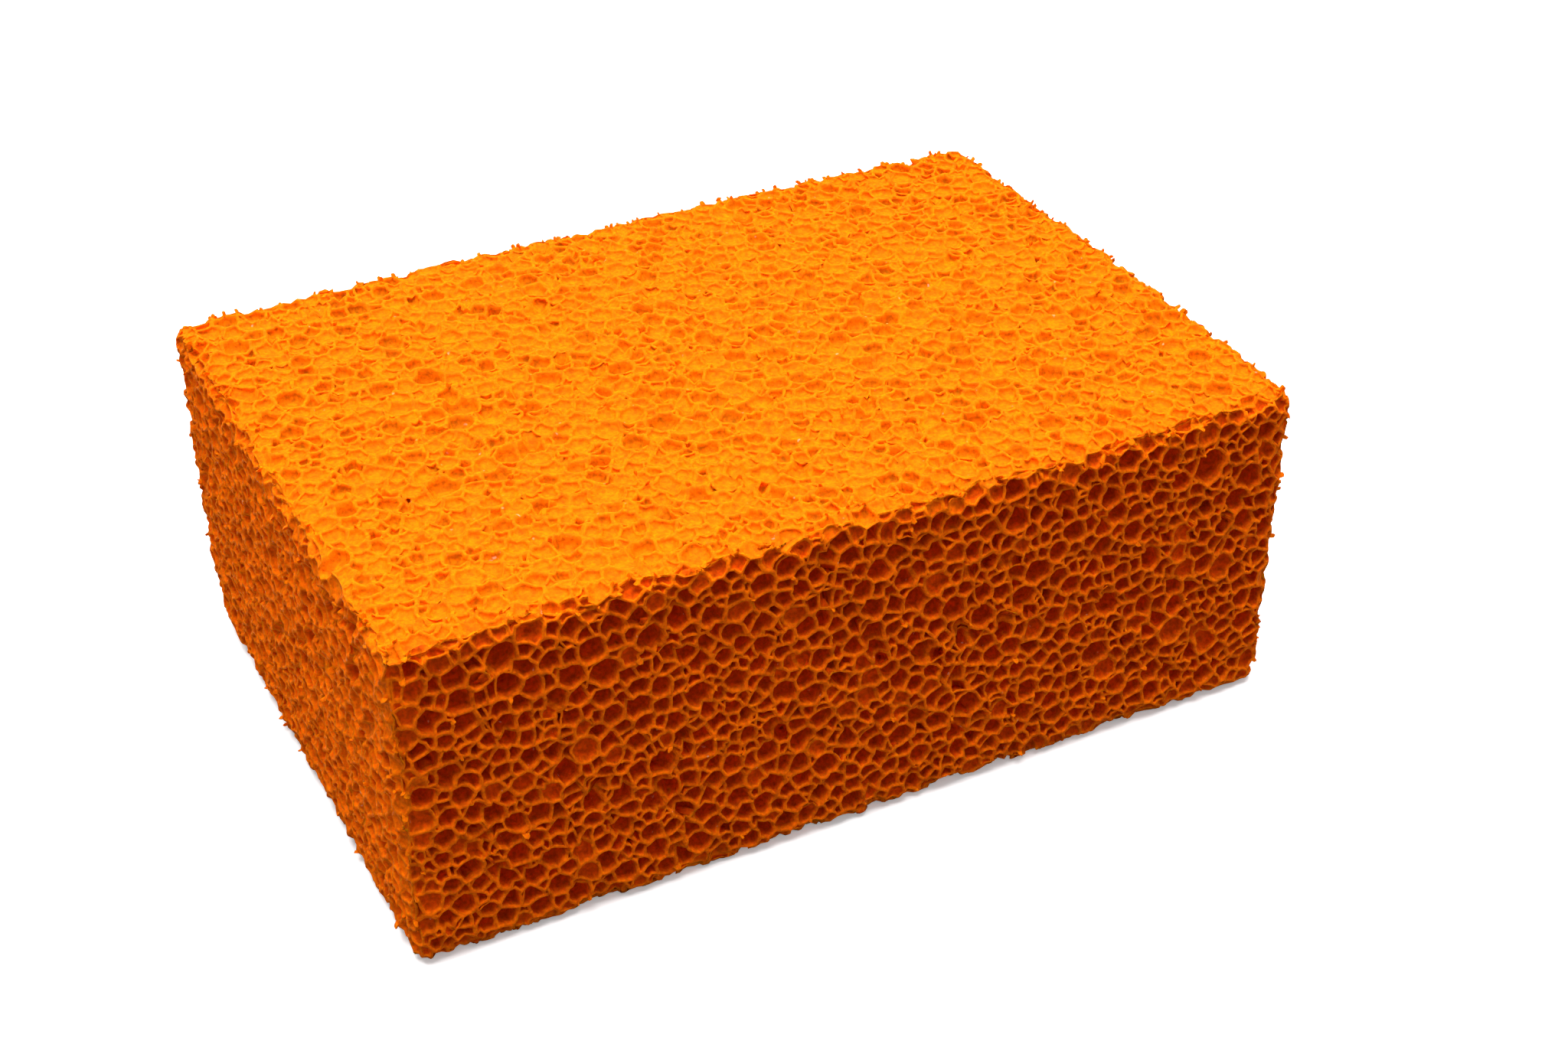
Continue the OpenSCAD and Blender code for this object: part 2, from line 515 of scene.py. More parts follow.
def shape_block(points, low, high, foam):
    """The block's outline: rounded edges, the rubbed-off corner and the swollen sides."""
    r = foam.edge_radius * MM
    core = np.clip(points, low + r, high - r)
    points = core + round_off(points - core)
    run = np.clip(1.0 - (points[:, 0] - low[0]) / (foam.corner_run * MM), 0.0, 1.0)
    big = np.maximum(foam.corner_radius * MM * run * run * (3.0 - 2.0 * run), LEAST_CORNER)
    core = points.copy()
    core[:, 1] = np.minimum(core[:, 1], high[1] - big)
    core[:, 2] = np.maximum(core[:, 2], low[2] + big)
    points = core + round_off(points - core)
    size = high - low
    off = 2.0 * (points - (low + high) / 2.0) / size
    share = (points - low) / size
    moved = points.copy()
    moved[:, 0] -= foam.swell_right * MM * share[:, 0] * off[:, 1] ** 2
    moved[:, 1] -= foam.swell_back * MM * share[:, 1] * off[:, 0] ** 2
    return moved


def round_off(d):
    """Brings square corners onto round ones, keeping each point's reach."""
    length = np.linalg.norm(d, axis=1, keepdims=True)
    reach = np.abs(d).max(axis=1, keepdims=True)
    return np.where(length > TINY, d * reach / np.maximum(length, TINY), d)


def point_normals(points, loops):
    """Mean outward direction of the loops around each point, and how many there are."""
    normals = np.zeros_like(points)
    count = np.zeros(len(points), dtype=int)
    for _, loop in loops:
        normals[loop] += loop_normal(points[loop])
        count[loop] += 1
    length = np.linalg.norm(normals, axis=1, keepdims=True)
    return normals / np.maximum(length, TINY), count


def sides_near(points, low, high, reach):
    """How many sides of the block each point lies near."""
    return np.sum(np.minimum(points - low, high - points) < reach, axis=1)


def fray_crests(points, loops, low, high, foam, rng):
    """Moves the joints of the crests in and out, most along the edges of the block."""
    normals, count = point_normals(points, loops)
    edge = sides_near(points, low, high, FRAY_REACH * foam.edge_radius * MM) > 1
    amount = np.where(edge, foam.edge_fray, foam.fray) * MM
    cell = np.zeros(len(points))
    for _, loop in loops:
        cell[loop] += rng.standard_normal()
    wave = FRAY_BY_CELL * cell / np.sqrt(np.maximum(count, 1))
    wave = wave + FRAY_BY_POINT * rng.standard_normal(len(points))
    points = points + normals * (amount * np.clip(wave, *FRAY_LIMITS))[:, None]
    points[:, 2] = np.maximum(points[:, 2], 0.0)
    return points


def foam_net(foam):
    """The net's points and loops, the bubbles, the block's corners and the draw."""
    rng = np.random.default_rng(foam.draw)
    low, high = (np.array(c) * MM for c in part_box(NODE))
    centres, radii = pack_bubbles(low, high, foam, rng)
    owned, corners = [], []
    for _, axis, end in SIDES:
        for site, outline in slice_side(axis, end, low, high, centres, radii):
            first = len(corners)
            corners.extend(outline)
            owned.append((site, list(range(first, len(corners)))))
    corners = np.array(corners)
    _, index, number = np.unique(
        np.round(corners / CORNER_STEP).astype(np.int64), axis=0, return_index=True,
        return_inverse=True)
    number = number.ravel()
    points = corners[index]
    arrows = {}
    for site, loop in owned:
        ids = [int(number[i]) for i in loop]
        ids = [p for i, p in enumerate(ids) if p != ids[i - 1]]
        if len(ids) > 2:
            arrows.setdefault(site, []).append(
                [(ids[i - 1], ids[i]) for i in range(len(ids))])
    loops = []
    for site in sorted(arrows):
        together = rng.uniform() < foam.open_edge_share or len(arrows[site]) > 2
        groups = [sum(arrows[site], [])] if together else arrows[site]
        for group in groups:
            for loop in chain_loops(group):
                loops.extend((site, part) for part in split_pinched(loop))
    points, loops = merge_short(points, loops, SHORTEST_CREST * foam.bubble_size * MM)
    points = stray_edges(points, low, high, foam, rng)
    points, loops = bend_crests(points, loops, low, high, foam, rng)
    points = shape_block(points, low, high, foam)
    points = fray_crests(points, loops, low, high, foam, rng)
    return points, loops, centres, radii, low, high, rng


def side_of(point, low, high):
    """Axis and end of the side of the block that a point lies nearest to."""
    gaps = np.array([point - low, high - point])
    end, axis = np.unravel_index(np.argmin(gaps), gaps.shape)
    return int(axis), int(end)


# Pits

# Most that a pit leans, in radii, and the share of its lean that it keeps
MOST_LEAN = 0.55
LEAN_SHARE = 0.5
# Share of a bubble's radius that counts towards the depth of its pit
BUBBLE_SHARE = 0.95
# Deepest and shallowest pit: so many radii, and so many millimetres more
DEEPEST = (2.3, 0.43)
SHALLOWEST = (1.15, 0.1)
# Range of the draw that varies the painted shade of a pit
PAINTED_SHADE_DRAWS = (0.75, 1.1)
# How much deeper the deepest film lies than the shallowest, as a share
FILM_SPAN = 0.5
# How fast the crests redden with painted shade as they turn away from the top light
RIM_FADE = 1.4


def cell_facts(points, loops, centres, radii, low, high, foam, rng):
    """For each loop: centre, axis, lean, radius, depth, luck and painted shade of its pit."""
    facts = []
    times = {}
    for site, _ in loops:
        times[site] = times.get(site, 0) + 1
    for site, loop in loops:
        corners = points[loop]
        axis = loop_normal(corners)
        centre = corners.mean(axis=0)
        out = corners - centre
        spokes = out - np.outer(out @ axis, axis)
        radius = float(np.linalg.norm(spokes, axis=1).mean())
        toward = centres[site] - centre
        sunk = float(-toward @ axis)
        side = toward + sunk * axis
        reach = float(np.linalg.norm(side))
        lean = side * min(1.0, MOST_LEAN * radius / max(reach, TINY)) * LEAN_SHARE
        facing = side_of(centre, low, high)[0]
        hollow = foam.pit_depth[facing]
        depth = hollow * (sunk + BUBBLE_SHARE * radii[site])
        worn = sides_near(centre[None], low, high, foam.edge_radius * MM)[0] > 1
        deepest = hollow * (DEEPEST[0] * radius + DEEPEST[1])
        # Painted shade of the pit, kept only in part on an edge and under a film
        painted_shade = foam.painted_shade[facing] * float(rng.uniform(*PAINTED_SHADE_DRAWS))
        if worn or times[site] > 1:
            deepest = foam.edge_pit_depth * radius
            painted_shade *= foam.edge_painted_shade
        least = SHALLOWEST[0] * hollow * radius + SHALLOWEST[1]
        depth = float(np.clip(depth, min(least, deepest), deepest))
        luck = float(rng.uniform())
        filmed = foam.film_share[facing]
        if luck > 1.0 - filmed:
            depth *= foam.film_level * (1.0 + FILM_SPAN * (1.0 - luck) / filmed)
            painted_shade *= foam.film_painted_shade
        facts.append((centre, axis, lean, radius, depth, luck, painted_shade))
    return facts


# What the faces of a net tell their pits, in the order of cell_facts, with the scale
PIT_FACTS = (
    ("pit_centre", 1.0 / MM),
    ("pit_axis", 1.0),
    ("pit_lean", 1.0 / MM),
    ("pit_radius", 1.0 / MM),
    ("pit_depth", 1.0 / MM),
    ("pit_luck", 1.0),
    ("pit_gloom", 1.0),
)


def set_attribute(mesh, label, domain, values):
    """Stores a number or a vector for each point or face of a mesh."""
    kind, slot = ("FLOAT_VECTOR", "vector") if values.ndim > 1 else ("FLOAT", "value")
    mesh.attributes.new(label, kind, domain).data.foreach_set(slot, values.ravel())


def net_mesh(name, points, loops, facts, shades):
    """A mesh with one face for each cell, which carries the facts of its pit."""
    used = sorted({p for _, loop in loops for p in loop})
    number = {p: i for i, p in enumerate(used)}
    places = points[used] / MM
    mesh = bpy.data.meshes.new(name)
    mesh.from_pydata(places.tolist(), [], [[number[p] for p in loop] for _, loop in loops])
    for column, (label, scale) in enumerate(PIT_FACTS):
        set_attribute(mesh, label, "FACE", np.array([f[column] for f in facts]) * scale)
    set_attribute(mesh, "rim_at", "POINT", places)
    # Painted shade of the crests, which the rings of each pit build on
    for label in ("rim_shade", "pit_shade"):
        set_attribute(mesh, label, "POINT", shades[used])
    mesh.update()
    return mesh


class Tree:
    """Short calls to lay out and wire the nodes of a tree."""

    def __init__(self, group):
        self.group = group

    def fill(self, node, inputs):
        """Links each input that is given a socket, and sets each that is given a value."""
        for name, value in inputs.items():
            if isinstance(value, bpy.types.NodeSocket):
                self.group.links.new(value, node.inputs[name])
            else:
                node.inputs[name].default_value = value

    def add(self, kind, inputs=None, **options):
        node = self.group.nodes.new(kind)
        for key, value in options.items():
            setattr(node, key, value)
        self.fill(node, inputs or {})
        return node

    def ends(self, inputs, outputs):
        """Gives its two ends."""
        for way, sockets in (("INPUT", inputs), ("OUTPUT", outputs)):
            for name, kind, *default in sockets:
                item = self.group.interface.new_socket(
                    name=name, in_out=way, socket_type="NodeSocket" + kind)
                if default:
                    item.default_value = default[0]
        return self.add("NodeGroupInput").outputs, self.add("NodeGroupOutput")

    def math(self, operation, a, b=0.0):
        return self.add("ShaderNodeMath", {0: a, 1: b}, operation=operation).outputs[0]

    def vector(self, operation, a, b=None, scale=None):
        given = {0: a, 1: b, "Scale": scale}
        inputs = {name: value for name, value in given.items() if value is not None}
        node = self.add("ShaderNodeVectorMath", inputs, operation=operation)
        return node.outputs["Value" if operation in ("LENGTH", "DOT_PRODUCT") else "Vector"]

    def named(self, name, kind="FLOAT"):
        node = self.add("GeometryNodeInputNamedAttribute", {"Name": name}, data_type=kind)
        return node.outputs["Attribute"]

    def random(self, low, high, seed, kind="FLOAT"):
        inputs = {"Min": low, "Max": high, "Seed": seed}
        return self.add("FunctionNodeRandomValue", inputs, data_type=kind).outputs["Value"]

    def finish(self, shape, material):
        """Ends a tree: instances become real geometry, and the material is set."""
        real = self.add("GeometryNodeRealizeInstances", {0: shape})
        inputs = {"Geometry": real.outputs[0], "Material": material}
        return self.add("GeometryNodeSetMaterial", inputs).outputs[0]


# Least share of a rim's reach that a ring keeps
NARROWEST = 0.45
# Scale of the noise that makes the walls uneven
UNEVEN_SCALE = 900.0


def ring_group():
    """Node group: one ring of a pit. It sinks a copy of the chosen faces' outline."""
    tree = Tree(bpy.data.node_groups.new("pit_ring", "GeometryNodeTree"))
    given, result = tree.ends(
        (("Geometry", "Geometry"), ("Selection", "Bool", True), ("Spread", "Float", 1.0),
         ("Drop", "Float", 0.5), ("Rise", "Float", 0.5), ("Roundness", "Float", 0.3),
         ("Lean", "Float", 0.0), ("Wall Width", "Float", 0.0003),
         ("Unevenness", "Float", 0.0002), ("Shade", "Float", 0.5)),
        (("Geometry", "Geometry"), ("Top", "Bool")))
    extrude = tree.add("GeometryNodeExtrudeMesh", {
        "Mesh": given["Geometry"], "Selection": given["Selection"],
        "Offset Scale": 0.0, "Individual": True}, mode="FACES")
    top = extrude.outputs["Top"]

    centre = tree.named("pit_centre", "FLOAT_VECTOR")
    axis = tree.vector("NORMALIZE", tree.named("pit_axis", "FLOAT_VECTOR"))
    lean = tree.named("pit_lean", "FLOAT_VECTOR")
    radius = tree.named("pit_radius")
    depth = tree.named("pit_depth")
    out = tree.vector("SUBTRACT", tree.named("rim_at", "FLOAT_VECTOR"), centre)
    rise = tree.vector("DOT_PRODUCT", out, axis)
    flat = tree.vector("SUBTRACT", out, tree.vector("SCALE", axis, scale=rise))
    reach = tree.math("MAXIMUM", tree.vector("LENGTH", flat), TINY)
    beyond = tree.math("MAXIMUM", tree.math("SUBTRACT", reach, radius), 0.0)
    rounder = tree.math("SUBTRACT", reach, tree.math("MULTIPLY", beyond, given["Roundness"]))
    half_wall = tree.math("MULTIPLY", given["Wall Width"], 0.5)
    narrowed = tree.math(
        "MAXIMUM", tree.math("SUBTRACT", rounder, half_wall),
        tree.math("MULTIPLY", reach, NARROWEST))
    spread = tree.math("DIVIDE", tree.math("MULTIPLY", narrowed, given["Spread"]), reach)
    sink = tree.math(
        "SUBTRACT", tree.math("MULTIPLY", rise, given["Rise"]),
        tree.math("MULTIPLY", depth, given["Drop"]))
    place = tree.vector("ADD", centre, tree.vector("SCALE", flat, scale=spread))
    place = tree.vector("ADD", place, tree.vector("SCALE", axis, scale=sink))
    place = tree.vector("ADD", place, tree.vector("SCALE", lean, scale=given["Lean"]))
    noise = tree.add("ShaderNodeTexNoise", {
        "Vector": place, "Scale": UNEVEN_SCALE, "Detail": 1.0}, noise_dimensions="3D")
    jitter = tree.vector("SUBTRACT", noise.outputs["Color"], (0.5, 0.5, 0.5))
    place = tree.vector("ADD", place, tree.vector("SCALE", jitter, scale=given["Unevenness"]))

    move = tree.add("GeometryNodeSetPosition", {
        "Geometry": extrude.outputs["Mesh"], "Selection": top, "Position": place})
    # Painted shade: each ring darkens the pit by its own share, on top of the painted shade of its
    # crest
    shade = tree.math("MULTIPLY", given["Shade"], tree.named("pit_gloom"))
    store = tree.add("GeometryNodeStoreNamedAttribute", {
        "Geometry": move.outputs["Geometry"], "Selection": top, "Name": "pit_shade",
        "Value": tree.math("ADD", shade, tree.named("rim_shade")),
    }, data_type="FLOAT", domain="POINT")
    tree.fill(result, {"Geometry": store.outputs["Geometry"], "Top": top})
    return tree.group


# Columns of the tables of rings
RING_INPUTS = ("Spread", "Drop", "Rise", "Roundness", "Lean", "Unevenness", "Shade")

# Rings of a pit, from its rim down; their shade is painted shade that grows towards the floor
RINGS = (
    (1.00, 0.045, 0.92, 0.40, 0.0, 0.9, 0.06),
    (0.96, 0.45, 0.45, 0.50, 0.4, 1.2, 0.55),
    (0.62, 0.95, 0.10, 0.60, 1.0, 1.6, 1.00),
)

# Rings of the tear in a torn floor, which take the darkest painted shade
TEAR_RINGS = (
    (0.30, 0.99, 0.00, 0.30, 1.0, 2.4, 1.10),
    (0.27, 1.45, 0.00, 0.30, 1.2, 2.0, 1.60),
)


def pit_tree():
    """Node group that sinks a pit into every face of a net and sets the foam's material."""
    ring = ring_group()
    tree = Tree(bpy.data.node_groups.new("sink_pits", "GeometryNodeTree"))
    given, result = tree.ends(
        (("Geometry", "Geometry"), ("Wall Width", "Float"), ("Unevenness", "Float"),
         ("Torn Share", "Float"), ("Material", "Material")),
        (("Geometry", "Geometry"),))
    shape, chosen = given["Geometry"], True
    torn = tree.math("LESS_THAN", tree.named("pit_luck"), given["Torn Share"])
    for number, row in enumerate(RINGS + TEAR_RINGS):
        if number == len(RINGS):
            chosen = tree.add(
                "FunctionNodeBooleanMath", {0: chosen, 1: torn}, operation="AND").outputs[0]
        inputs = dict(zip(RING_INPUTS, row))
        inputs["Unevenness"] = tree.math("MULTIPLY", given["Unevenness"], inputs["Unevenness"])
        inputs["Wall Width"] = given["Wall Width"]
        inputs["Geometry"] = shape
        inputs["Selection"] = chosen
        step = tree.add("GeometryNodeGroup", node_tree=ring)
        tree.fill(step, inputs)
        shape, chosen = step.outputs["Geometry"], step.outputs["Top"]
    smooth = tree.add("GeometryNodeSetShadeSmooth", {0: shape})
    tree.fill(result, {"Geometry": tree.finish(smooth.outputs[0], given["Material"])})
    return tree.group


# Rings of a shred in millimetres: height, shift, half its width and half its thickness
SHRED_RINGS = (
    (-0.3, 0.0, 0.55, 0.26),
    (0.25, 0.04, 0.52, 0.24),
    (0.6, 0.10, 0.42, 0.2),
)
SHRED_TIP = (0.14, 0.06, 0.78)
# Shreds keep this far above the floor, in millimetres, and don't point down more steeply
SHRED_CLEARANCE = 1.5
SHRED_STEEPEST = -0.3
# How far a shred leans at random
SHRED_LEAN = 0.5


def shred_mesh():
    """A shred of torn film, about 1 mm long: a blunt tab that bends over a little."""
    corners = []
    for height, shift, half_width, half_thick in SHRED_RINGS:
        corners += [
            (shift - half_thick, -half_width, height), (shift + half_thick, 0.0, height),
            (shift - half_thick, half_width, height)]
    corners.append(SHRED_TIP)
    faces = [(2, 1, 0)]
    for first in (0, 3):
        for i in range(3):
            j = (i + 1) % 3
            faces.append((first + i, first + j, first + 3 + j, first + 3 + i))
    faces += [(6, 7, 9), (7, 8, 9), (8, 6, 9)]
    mesh = bpy.data.meshes.new("shred")
    mesh.from_pydata([tuple(v / MM for v in c) for c in corners], [], faces)
    return mesh


def shred_seats(points, loops, low, high, foam, rng):
    """Points of the crests that carry a shred, and their outward directions."""
    normals, count = point_normals(points, loops)
    edge = sides_near(points, low, high, foam.edge_radius * MM) > 1
    chance = np.where(edge, foam.shred_edge_share, foam.shred_share)
    chosen = (count > 2) & (normals[:, 2] > SHRED_STEEPEST) & (points[:, 2] > SHRED_CLEARANCE)
    chosen &= rng.uniform(size=len(points)) < chance
    return points[chosen] / MM, normals[chosen]


def shred_tree(foam):
    """Node group that sets a shred on every point, turned and sized at random."""
    tree = Tree(bpy.data.node_groups.new("set_shreds", "GeometryNodeTree"))
    given, result = tree.ends(
        (("Geometry", "Geometry"), ("Shred", "Object"),
         ("Smallest", "Float", foam.shred_smallest), ("Largest", "Float", foam.shred_largest),
         ("Seed", "Int", foam.draw), ("Material", "Material")),
        (("Geometry", "Geometry"),))
    shred = tree.add("GeometryNodeObjectInfo", {"Object": given["Shred"]})
    lean = tree.random((-SHRED_LEAN,) * 3, (SHRED_LEAN,) * 3, given["Seed"], "FLOAT_VECTOR")
    aim = tree.vector("ADD", tree.named("aim", "FLOAT_VECTOR"), lean)
    upright = tree.add("FunctionNodeAlignRotationToVector", {"Vector": aim}, axis="Z")
    spin = tree.random(0.0, 2.0 * math.pi, tree.math("ADD", given["Seed"], 1.0))
    turn = tree.add("FunctionNodeAxisAngleToRotation", {"Axis": (0.0, 0.0, 1.0), "Angle": spin})
    rotate = tree.add("FunctionNodeRotateRotation", {
        "Rotation": upright.outputs["Rotation"], "Rotate By": turn.outputs["Rotation"],
    }, rotation_space="LOCAL")
    seed = tree.math("ADD", given["Seed"], 2.0)
    size = tree.random(given["Smallest"], given["Largest"], seed)
    dots = tree.add("GeometryNodeMeshToPoints", {"Mesh": given["Geometry"]})
    place = tree.add("GeometryNodeInstanceOnPoints", {
        "Points": dots.outputs["Points"], "Instance": shred.outputs["Geometry"],
        "Rotation": rotate.outputs["Rotation"], "Scale": size})
    tree.fill(result, {"Geometry": tree.finish(place.outputs[0], given["Material"])})
    return tree.group


# Attributes that stay on a finished piece
KEPT = {"position", "pit_shade", "pit_luck", ".edge_verts", ".corner_vert", ".corner_edge",
        "sharp_face", "material_index"}


def settle(piece, group, values):
    """Runs a node group on a piece and keeps the result as its plain mesh."""
    modifier = piece.modifiers.new("nodes", "NODES")
    modifier.node_group = group
    for item in group.interface.items_tree:
        if item.in_out == "INPUT" and item.name in values:
            modifier[item.identifier] = values[item.name]
    graph = bpy.context.evaluated_depsgraph_get()
    mesh = bpy.data.meshes.new_from_object(piece.evaluated_get(graph), depsgraph=graph)
    piece.modifiers.remove(modifier)
    old = piece.data
    mesh.name = piece.name
    piece.data = mesh
    bpy.data.meshes.remove(old)
    for label in [a.name for a in mesh.attributes if a.name not in KEPT]:
        attribute = mesh.attributes.get(label)
        if attribute is not None and not attribute.is_required:
            mesh.attributes.remove(attribute)


# Materials

WHITE = (1.0, 1.0, 1.0, 1.0)
# Painted shade at the start of the colour ramp, and the places of two colours on it
DULLEST = -0.25
CREST_PLACE = 0.21
WALL_PLACE = 0.44
# Patches of the foam: scale and detail of the noise, the range of it that counts, and what
# that becomes. The first two brighten and darken, and the last is the share of glint.
CLOUD = (420.0, 3.0, (0.3, 0.7), (0.82, 1.06))
MOTTLE = (1300.0, 2.0, (0.3, 0.7), (0.68, 1.24))
SPECK = (620.0, 2.0, (0.74, 0.82), (0.0, 0.55))
# Scale and detail of the foam's grain, and how strong and deep its bump is
GRAIN = (1700.0, 4.0)
BUMP = {"Strength": 0.7, "Distance": 0.00022}


def shader(name):
    """A new material with nodes, its tree and its main shader."""
    material = bpy.data.materials.new(name)
    material.use_nodes = True
    return material, Tree(material.node_tree), material.node_tree.nodes["Principled BSDF"]


def noise(tree, place, scale, detail):
    inputs = {"Vector": place, "Scale": scale, "Detail": detail}
    return tree.add("ShaderNodeTexNoise", inputs).outputs["Fac"]


def rescale(tree, value, given, wanted):
    """Brings a value from one range to another."""
    return tree.add("ShaderNodeMapRange", {
        "Value": value, "From Min": given[0], "From Max": given[1],
        "To Min": wanted[0], "To Max": wanted[1]}).outputs["Result"]


def patches(tree, place, scale, detail, given, wanted):
    return rescale(tree, noise(tree, place, scale, detail), given, wanted)


def mix(tree, share, first, second):
    inputs = {"Factor": share, "A": first, "B": second}
    return tree.add("ShaderNodeMix", inputs, data_type="RGBA").outputs["Result"]


def foam_material(look):
    """Orange foam: pale crests, pits darkened and reddened or dimmed by painted shade, cloudy tint,
    painted glints and a grain of fine film.
    """
    material, tree, main = shader("foam")
    place = tree.add("ShaderNodeTexCoord").outputs["Object"]
    shade = tree.add("ShaderNodeAttribute", attribute_name="pit_shade").outputs["Fac"]
    # Painted shade picks the colour: dull pits of the flat sides, pale crests, then darker and
    # redder walls and floors
    ramp = tree.add("ShaderNodeValToRGB", {
        0: rescale(tree, shade, (DULLEST, 1.0), (0.0, 1.0))})
    colors = ramp.color_ramp.elements
    colors[0].color = (*look.dull, 1.0)
    colors[1].color = (*look.floor, 1.0)
    for position, color in ((CREST_PLACE, look.crest), (WALL_PLACE, look.wall)):
        colors.new(position).color = (*color, 1.0)
    light = tree.math(
        "MULTIPLY", patches(tree, place, *CLOUD), patches(tree, place, *MOTTLE))
    tinted = tree.vector("SCALE", ramp.outputs["Color"], scale=light)
    color = mix(tree, patches(tree, place, *SPECK), tinted, (*look.glint, 1.0))
    bump = tree.add("ShaderNodeBump", {"Height": noise(tree, place, *GRAIN), **BUMP})
    tree.fill(main, {
        "Base Color": color,
        "Normal": bump.outputs["Normal"],
        "Roughness": 0.75,
        "Specular IOR Level": 0.04,
        "Subsurface Weight": 0.5,
        "Subsurface Radius": (1.0, 0.5, 0.2),
        "Subsurface Scale": look.glow_depth,
    })
    return material


def floor_material(stage):
    """Plain pale floor that shows white to the camera where no shadow falls."""
    material, tree, main = shader("floor")
    seen = seen_directly(tree)
    tree.fill(main, {
        "Base Color": mix(tree, seen, (*stage.floor_color, 1.0), WHITE),
        "Roughness": 0.9,
        "Specular IOR Level": 0.05,
        "Emission Color": WHITE,
        "Emission Strength": tree.math("MULTIPLY", seen, stage.floor_lift),
    })
    return material


def seen_directly(tree):
    """1 for what the camera sees, also in a mirror or through glass, and 0 otherwise."""
    path = tree.add("ShaderNodeLightPath").outputs
    bent = tree.math("MAXIMUM", path["Is Glossy Ray"], path["Is Transmission Ray"])
    return tree.math("MAXIMUM", path["Is Camera Ray"], bent)


# Pieces

# Half the width of the floor, and the size and place of the lamp, in metres
FLOOR_HALF = 1.2
LAMP_SIZE = 1.1
LAMP_AT = (-0.05, 0.04, 1.1)
# Width of the camera's sensor, in millimetres
SENSOR = 36.0


def link(piece):
    """Puts a new object into the scene."""
    bpy.context.scene.collection.objects.link(piece)
    return piece


def point_along(piece, direction):
    """Turns a lamp or camera to look in a direction."""
    piece.rotation_euler = direction.to_track_quat("-Z", "Y").to_euler()


def declare(piece):
    """Ties a piece of the foam to the block's body and hides the block's node."""
    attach(piece, BODY)
    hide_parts(NODE)


class SPONGE_OT_foam(bpy.types.Operator):
    """Build the foam skin, one piece for each side of the block"""

    bl_idname = "sponge.foam"
    bl_label = "Build Foam"
    bl_options = {"REGISTER", "UNDO"}

    def execute(self, context):
        foam, look = context.scene.sponge_foam, context.scene.sponge_look
        points, loops, centres, radii, low, high, rng = foam_net(foam)
        facts = cell_facts(points, loops, centres, radii, low, high, foam, rng)
        normals = point_normals(points, loops)[0]
        # Painted shade of the crests that face away from the top light
        shades = foam.rim_painted_shade * np.clip(1.0 - RIM_FADE * normals[:, 2], 0.0, 1.0)
        material = foam_material(look)
        group = pit_tree()
        sides = [side_of(f[0], low, high) for f in facts]
        for label, axis, end in SIDES:
            chosen = [i for i, s in enumerate(sides) if s == (axis, end)]
            if not chosen:
                raise RuntimeError(f"no cell faces the {label} side")
            mesh = net_mesh(
                f"foam_{label}", points, [loops[i] for i in chosen],
                [facts[i] for i in chosen], shades)
            piece = link(bpy.data.objects.new(f"foam_{label}", mesh))
            settle(piece, group, {
                "Wall Width": foam.wall_width,
                "Unevenness": foam.wall_roughness,
                "Torn Share": foam.torn_share[axis],
                "Material": material,
            })
            triangles = sum(len(p.vertices) - 2 for p in piece.data.polygons)
            print(f"{piece.name}: {len(chosen)} cells, {triangles} triangles")
            declare(piece)
        self.shreds(points, loops, low, high, foam, material)
        return {"FINISHED"}

    def shreds(self, points, loops, low, high, foam, material):
        """Builds the shreds, with a draw of their own."""
        rng = np.random.default_rng(foam.draw + 1)
        seats, aims = shred_seats(points, loops, low, high, foam, rng)
        if len(seats) == 0:
            raise RuntimeError("no crest carries a shred")
        mesh = bpy.data.meshes.new("foam_shreds")
        mesh.from_pydata(seats.tolist(), [], [])
        set_attribute(mesh, "aim", "POINT", aims)
        piece = link(bpy.data.objects.new("foam_shreds", mesh))
        pattern = link(bpy.data.objects.new("shred", shred_mesh()))
        settle(piece, shred_tree(foam), {
            "Shred": pattern,
            "Smallest": foam.shred_smallest,
            "Largest": foam.shred_largest,
            "Seed": foam.draw,
            "Material": material,
        })
        old = pattern.data
        bpy.data.objects.remove(pattern)
        bpy.data.meshes.remove(old)
        print(f"foam_shreds: {len(seats)} shreds, {len(piece.data.polygons)} faces")
        declare(piece)


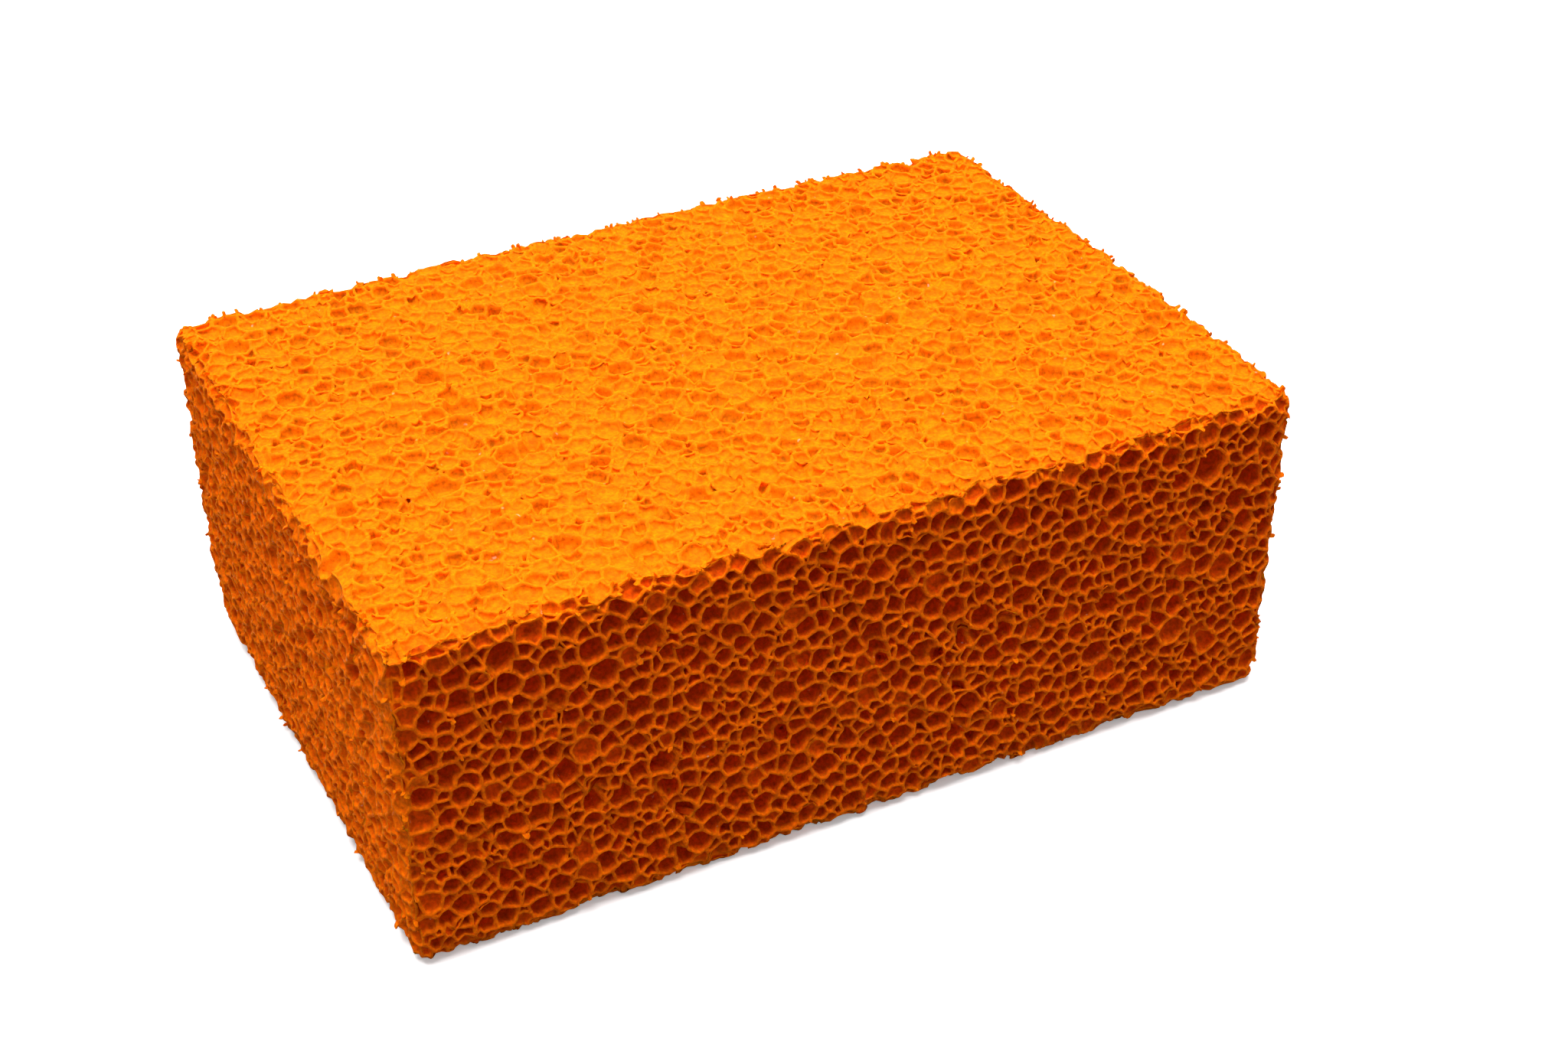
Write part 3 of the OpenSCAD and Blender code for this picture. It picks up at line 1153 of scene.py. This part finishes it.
class SPONGE_OT_stage(bpy.types.Operator):
    """Make the floor, the lights, the background and the camera"""

    bl_idname = "sponge.stage"
    bl_label = "Build Stage"
    bl_options = {"REGISTER", "UNDO"}

    def execute(self, context):
        stage = context.scene.sponge_stage
        self.floor(stage)
        self.lights(context, stage)
        self.camera(context, stage)
        return {"FINISHED"}

    def floor(self, stage):
        mesh = bpy.data.meshes.new("floor")
        corners = [(x * FLOOR_HALF, y * FLOOR_HALF, 0.0)
                   for x, y in ((-1, -1), (1, -1), (1, 1), (-1, 1))]
        mesh.from_pydata(corners, [], [(0, 1, 2, 3)])
        mesh.materials.append(floor_material(stage))
        link(bpy.data.objects.new("floor", mesh))

    def lights(self, context, stage):
        lamp = bpy.data.lights.new("top_light", "AREA")
        lamp.shape = "DISK"
        lamp.size = LAMP_SIZE
        lamp.energy = stage.key_power
        above = link(bpy.data.objects.new("top_light", lamp))
        above.location = LAMP_AT
        point_along(above, -above.location.normalized())

        world = bpy.data.worlds.new("backdrop")
        world.use_nodes = True
        tree = Tree(world.node_tree)
        level = rescale(tree, seen_directly(tree), (0.0, 1.0), (stage.fill, 1.0))
        tree.fill(world.node_tree.nodes["Background"], {"Color": WHITE, "Strength": level})
        context.scene.world = world

    def camera(self, context, stage):
        data = bpy.data.cameras.new("camera")
        data.lens = stage.lens
        data.sensor_width = SENSOR
        camera = link(bpy.data.objects.new("camera", data))
        camera.location = stage.camera_at
        point_along(camera, Vector(stage.camera_along))
        context.scene.camera = camera
        context.scene.view_settings.view_transform = "Standard"


class SPONGE_PT_panel(bpy.types.Panel):
    """Sponge settings"""

    bl_label = "Sponge"
    bl_idname = "SPONGE_PT_panel"
    bl_space_type = "VIEW_3D"
    bl_region_type = "UI"
    bl_category = "Sponge"

    def draw(self, context):
        scene = context.scene
        for settings, operator in (
                (scene.sponge_foam, SPONGE_OT_foam),
                (scene.sponge_look, None),
                (scene.sponge_stage, SPONGE_OT_stage)):
            box = self.layout.box()
            box.label(text=type(settings).__doc__.rstrip("."))
            for name in type(settings).__annotations__:
                box.prop(settings, name)
            if operator is not None:
                box.operator(operator.bl_idname)


CLASSES = (
    SpongeFoam,
    SpongeLook,
    SpongeStage,
    SPONGE_OT_foam,
    SPONGE_OT_stage,
    SPONGE_PT_panel,
)


def register():
    """Makes the settings, operators and panel known to Blender."""
    for cls in CLASSES:
        bpy.utils.register_class(cls)
    bpy.types.Scene.sponge_foam = PointerProperty(type=SpongeFoam)
    bpy.types.Scene.sponge_look = PointerProperty(type=SpongeLook)
    bpy.types.Scene.sponge_stage = PointerProperty(type=SpongeStage)


def unregister():
    del bpy.types.Scene.sponge_stage
    del bpy.types.Scene.sponge_look
    del bpy.types.Scene.sponge_foam
    for cls in reversed(CLASSES):
        bpy.utils.unregister_class(cls)


def main():
    """Builds the stage and the foam."""
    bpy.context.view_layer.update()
    register()
    bpy.ops.sponge.stage()
    bpy.ops.sponge.foam()
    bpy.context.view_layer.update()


if __name__ == "__main__":
    main()
